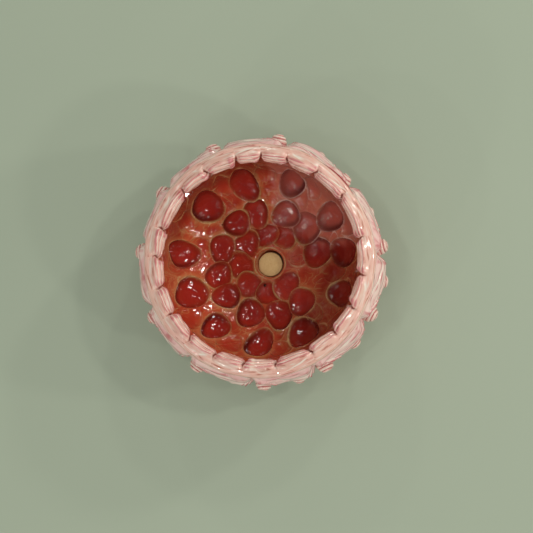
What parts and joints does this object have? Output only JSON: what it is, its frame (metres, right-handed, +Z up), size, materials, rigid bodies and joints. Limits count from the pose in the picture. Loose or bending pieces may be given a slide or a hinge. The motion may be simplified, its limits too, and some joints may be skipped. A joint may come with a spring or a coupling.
{
  "type": "flower frog bowl",
  "caption": "Heavy hand-built bowl with fingertip cups pressed inside to hold stems, a ribbed rim, swirled knobs outside, and a cork in its drain hole.",
  "frame": {"origin": "on the table, under the middle of the bowl", "axes": "+Z up along the bowl's axis. The bowl is round, and +X and +Y are fixed only by its knobs: the first upper knob is 7 degrees anticlockwise of +X, seen from above"},
  "size_m": [0.1635, 0.1638, 0.065],
  "materials": {
    "red_glaze": "gloss",
    "pink_glaze": "gloss",
    "cork": "matte"
  },
  "bodies": {
    "bowl": {"bowl_body": "red_glaze", "rim_roll_01": "pink_glaze", "rim_roll_02": "pink_glaze", "rim_roll_03": "pink_glaze", "rim_roll_04": "pink_glaze", "rim_roll_05": "pink_glaze", "rim_roll_06": "pink_glaze", "rim_roll_07": "pink_glaze", "rim_roll_08": "pink_glaze", "rim_roll_09": "pink_glaze", "rim_roll_10": "pink_glaze", "rim_roll_11": "pink_glaze", "rim_roll_12": "pink_glaze", "rim_roll_13": "pink_glaze", "rim_roll_14": "pink_glaze", "rim_roll_15": "pink_glaze", "rim_roll_16": "pink_glaze", "rim_roll_17": "pink_glaze", "rim_roll_18": "pink_glaze", "rim_roll_19": "pink_glaze", "rim_roll_20": "pink_glaze", "leaf_fold_01": "pink_glaze", "leaf_fold_02": "pink_glaze", "leaf_fold_03": "pink_glaze", "leaf_fold_04": "pink_glaze", "leaf_fold_05": "pink_glaze", "leaf_fold_06": "pink_glaze", "leaf_fold_07": "pink_glaze", "leaf_fold_08": "pink_glaze", "leaf_fold_09": "pink_glaze", "leaf_fold_10": "pink_glaze", "leaf_fold_11": "pink_glaze", "upper_knob_01": "pink_glaze", "upper_knob_02": "pink_glaze", "upper_knob_03": "pink_glaze", "upper_knob_04": "pink_glaze", "upper_knob_05": "pink_glaze", "upper_knob_06": "pink_glaze", "upper_knob_07": "pink_glaze", "upper_knob_08": "pink_glaze", "upper_knob_09": "pink_glaze", "upper_knob_10": "pink_glaze", "upper_knob_11": "pink_glaze", "lower_knob_01": "pink_glaze", "lower_knob_02": "pink_glaze", "lower_knob_03": "pink_glaze", "lower_knob_04": "pink_glaze", "lower_knob_05": "pink_glaze", "lower_knob_06": "pink_glaze", "lower_knob_07": "pink_glaze", "lower_knob_08": "pink_glaze", "lower_knob_09": "pink_glaze", "lower_knob_10": "pink_glaze", "lower_knob_11": "pink_glaze"},
    "plug": {"drain_plug": "cork"}
  },
  "joints": [
    {"name": "plug_lift", "type": "slide", "parent": "bowl", "child": "plug", "axis": [0, 0, 1], "range_m": [0, 0.07]}
  ]
}
